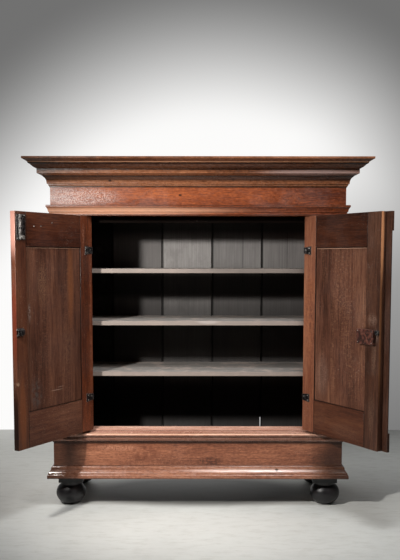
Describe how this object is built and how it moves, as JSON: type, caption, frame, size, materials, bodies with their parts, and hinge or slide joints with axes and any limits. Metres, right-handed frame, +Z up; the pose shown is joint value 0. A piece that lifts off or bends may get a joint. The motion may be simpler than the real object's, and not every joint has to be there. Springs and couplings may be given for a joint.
{
  "type": "kas cupboard",
  "caption": "Oak kas cupboard with an overhanging cornice, framed panel doors on pintle hinges, a slide bolt, a rim lock, inner shelves and ball feet.",
  "frame": {"origin": "on the floor, under the middle of the box round the cupboard with its doors open as modelled; the case's own middle plane is at X -0.008 m", "axes": "+Z up; the doors face -Y and the back faces +Y; +X is to the right as seen from the front"},
  "size_m": [1.8312, 1.082, 1.878],
  "materials": {
    "case_oak": "polished reddish-brown oak",
    "door_oak": "dark polished oak, worn at the edges",
    "greyed_oak": "dry greyed oak",
    "back_oak": "rough dark boards",
    "ebonised_wood": "black paint, soft sheen",
    "iron": "dark forged iron",
    "rusted_iron": "rust-red iron box"
  },
  "bodies": {
    "carcass": {"foot_front_left": "ebonised_wood", "foot_front_right": "ebonised_wood", "foot_rear_left": "ebonised_wood", "foot_rear_right": "ebonised_wood", "base_moulding_front": "case_oak", "base_moulding_left": "case_oak", "base_moulding_right": "case_oak", "plinth_front": "case_oak", "plinth_left": "case_oak", "plinth_right": "case_oak", "waist_moulding_front": "case_oak", "waist_moulding_left": "case_oak", "waist_moulding_right": "case_oak", "frieze_front": "case_oak", "frieze_left": "case_oak", "frieze_right": "case_oak", "cornice_front": "case_oak", "cornice_left": "case_oak", "cornice_right": "case_oak", "threshold": "case_oak", "stile_left": "case_oak", "stile_right": "case_oak", "side_left": "case_oak", "side_right": "case_oak", "head_rail": "case_oak", "bottom_board": "greyed_oak", "shelf_lower": "greyed_oak", "shelf_middle": "greyed_oak", "shelf_upper": "greyed_oak", "back_board_1": "back_oak", "back_board_2": "back_oak", "back_board_3": "back_oak", "back_board_4": "back_oak", "back_board_5": "back_oak", "top_board": "back_oak", "hinge_pintle_upper_left": "iron", "hinge_pintle_upper_right": "iron", "hinge_pintle_lower_left": "iron", "hinge_pintle_lower_right": "iron"},
    "left_door": {"left_door_hinge_stile": "door_oak", "left_door_meeting_stile": "door_oak", "left_door_top_rail": "door_oak", "left_door_bottom_rail": "door_oak", "left_door_panel": "door_oak", "hinge_strap_upper_left": "iron", "hinge_strap_lower_left": "iron", "door_bolt_plate": "iron", "lock_keeper": "iron"},
    "right_door": {"right_door_hinge_stile": "door_oak", "right_door_meeting_stile": "door_oak", "right_door_top_rail": "door_oak", "right_door_bottom_rail": "door_oak", "right_door_panel": "door_oak", "right_door_pilaster": "door_oak", "hinge_strap_upper_right": "iron", "hinge_strap_lower_right": "iron", "lock_case": "rusted_iron", "escutcheon": "iron"},
    "door_bolt": {"door_bolt": "iron"},
    "lock_bolt": {"lock_bolt": "iron"}
  },
  "joints": [
    {"name": "left_door_hinge", "type": "hinge", "parent": "carcass", "child": "left_door", "pos_m": [-0.6055, 0.01, 1.0025], "axis": [0, 0, -1], "range_deg": [-120, 40]},
    {"name": "right_door_hinge", "type": "hinge", "parent": "carcass", "child": "right_door", "pos_m": [0.5895, 0.01, 1.0025], "axis": [0, 0, 1], "range_deg": [-120, 40]},
    {"name": "door_bolt_slide", "type": "slide", "parent": "left_door", "child": "door_bolt", "axis": [0, 0, 1], "range_m": [0, 0.03]},
    {"name": "lock_bolt_slide", "type": "slide", "parent": "right_door", "child": "lock_bolt", "axis": [0.5, -0.866, 0], "range_m": [0, 0.02]}
  ]
}
